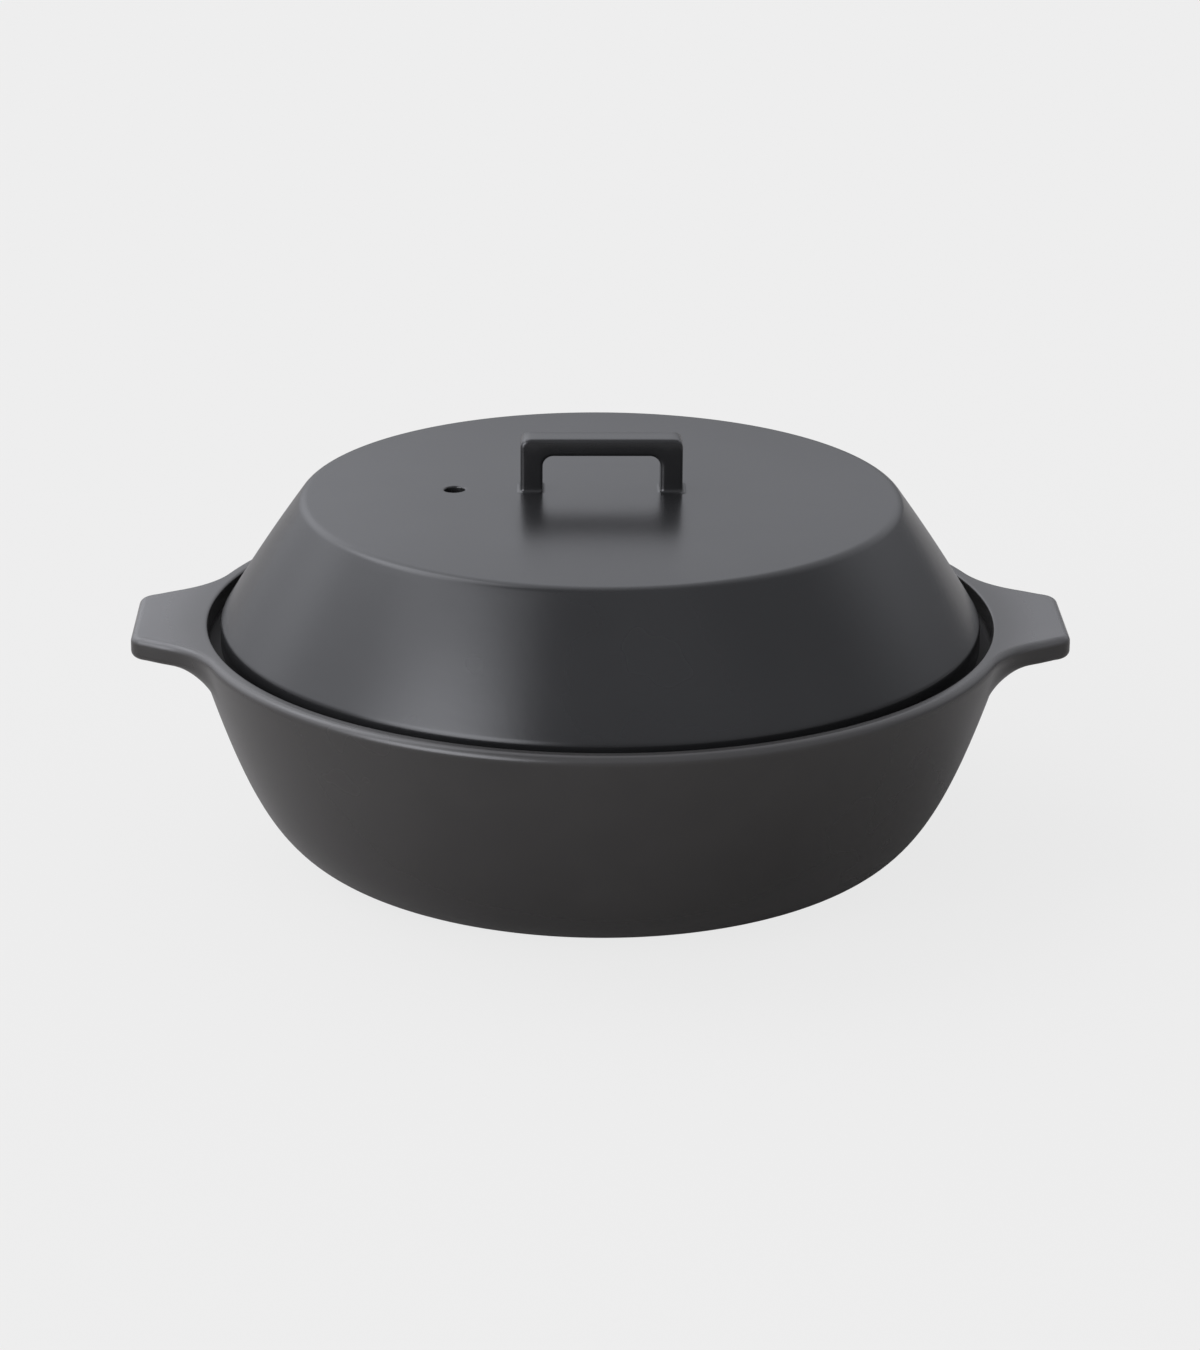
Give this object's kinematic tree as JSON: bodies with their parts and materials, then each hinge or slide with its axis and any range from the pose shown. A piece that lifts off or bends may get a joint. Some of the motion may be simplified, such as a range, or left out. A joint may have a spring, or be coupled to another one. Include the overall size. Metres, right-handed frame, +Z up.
{
  "type": "donabe clay pot",
  "caption": "Black-glazed round clay cooking pot with flat side ears at the rim and a lift-off lid that has a square arch handle and a steam vent.",
  "frame": {"origin": "middle of the foot, on the surface that the pot stands on", "axes": "+Z up along the axis of the bowl, +X through the right ear, so the two ears lie along X and the front faces -Y"},
  "size_m": [0.3074, 0.269, 0.14],
  "materials": {
    "glazed_clay": "satin black glaze over fired clay, bare clay on the foot ring and the seat of the lid"
  },
  "bodies": {
    "pot": {"pot_bowl": "glazed_clay", "left_ear": "glazed_clay", "right_ear": "glazed_clay"},
    "lid": {"lid_shell": "glazed_clay", "lid_handle": "glazed_clay"}
  },
  "joints": [
    {"name": "lid_lift", "type": "slide", "parent": "pot", "child": "lid", "axis": [0, 0, 1], "range_m": [0, 0.12]}
  ]
}
